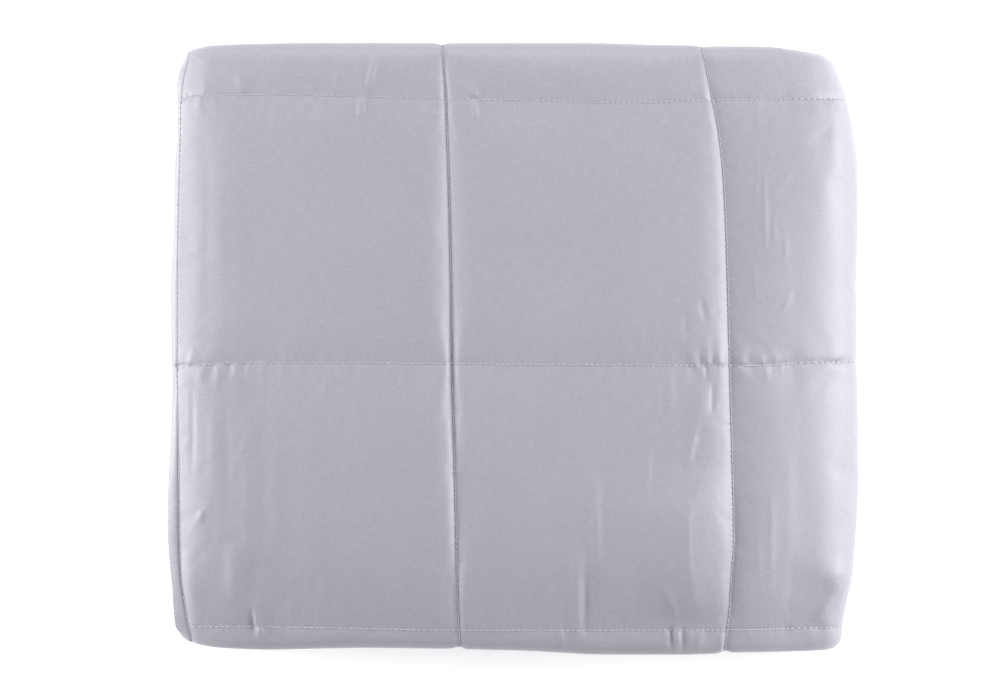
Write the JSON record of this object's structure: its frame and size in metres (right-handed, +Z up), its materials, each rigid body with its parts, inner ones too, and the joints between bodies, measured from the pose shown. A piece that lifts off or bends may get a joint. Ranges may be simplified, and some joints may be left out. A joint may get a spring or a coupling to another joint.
{
  "type": "weighted blanket",
  "caption": "Quilted satin weighted blanket in light grey, folded into a flat soft rectangular pile with square sewn cells, one wide rolled side and open hems opposite",
  "frame": {"origin": "centre of the folded pile's box, at the face that lies on the surface", "axes": "+Z up through the plies, +X towards the side with the wide roll, +Y towards the back fold; the plies' hems lie at -X"},
  "size_m": [0.3831, 0.339, 0.0678],
  "materials": {
    "satin": "light grey satin weave with a soft sheen, sewn into squares with pale thread"
  },
  "bodies": {
    "root": {"blanket": "satin"}
  },
  "joints": []
}
